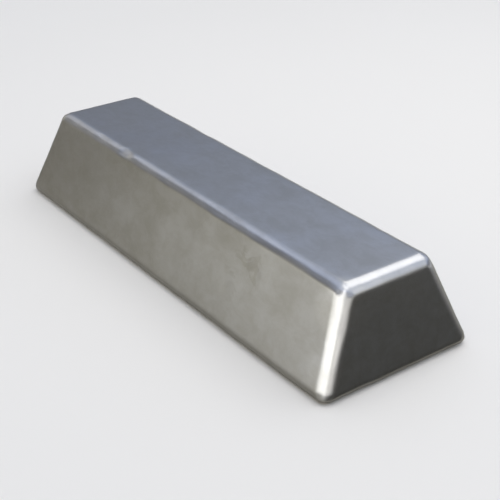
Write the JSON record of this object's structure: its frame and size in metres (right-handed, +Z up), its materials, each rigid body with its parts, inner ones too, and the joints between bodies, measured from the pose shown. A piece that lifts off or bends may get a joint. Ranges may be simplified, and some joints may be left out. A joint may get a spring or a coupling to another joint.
{
  "type": "aluminium ingot",
  "caption": "Bar of cast aluminium raw stock with a wide base, a narrow crown, leaning flat walls and rounded edges, made to be stacked and remelted.",
  "frame": {"origin": "middle of the wide base face, which the ingot lies on", "axes": "+X along the length, +Y across the width, +Z up from the base to the narrow crown"},
  "size_m": [0.571, 0.184, 0.101],
  "materials": {
    "cast_aluminium": "as cast, satin grey with brighter rounded edges"
  },
  "bodies": {
    "root": {"ingot": "cast_aluminium"}
  },
  "joints": []
}
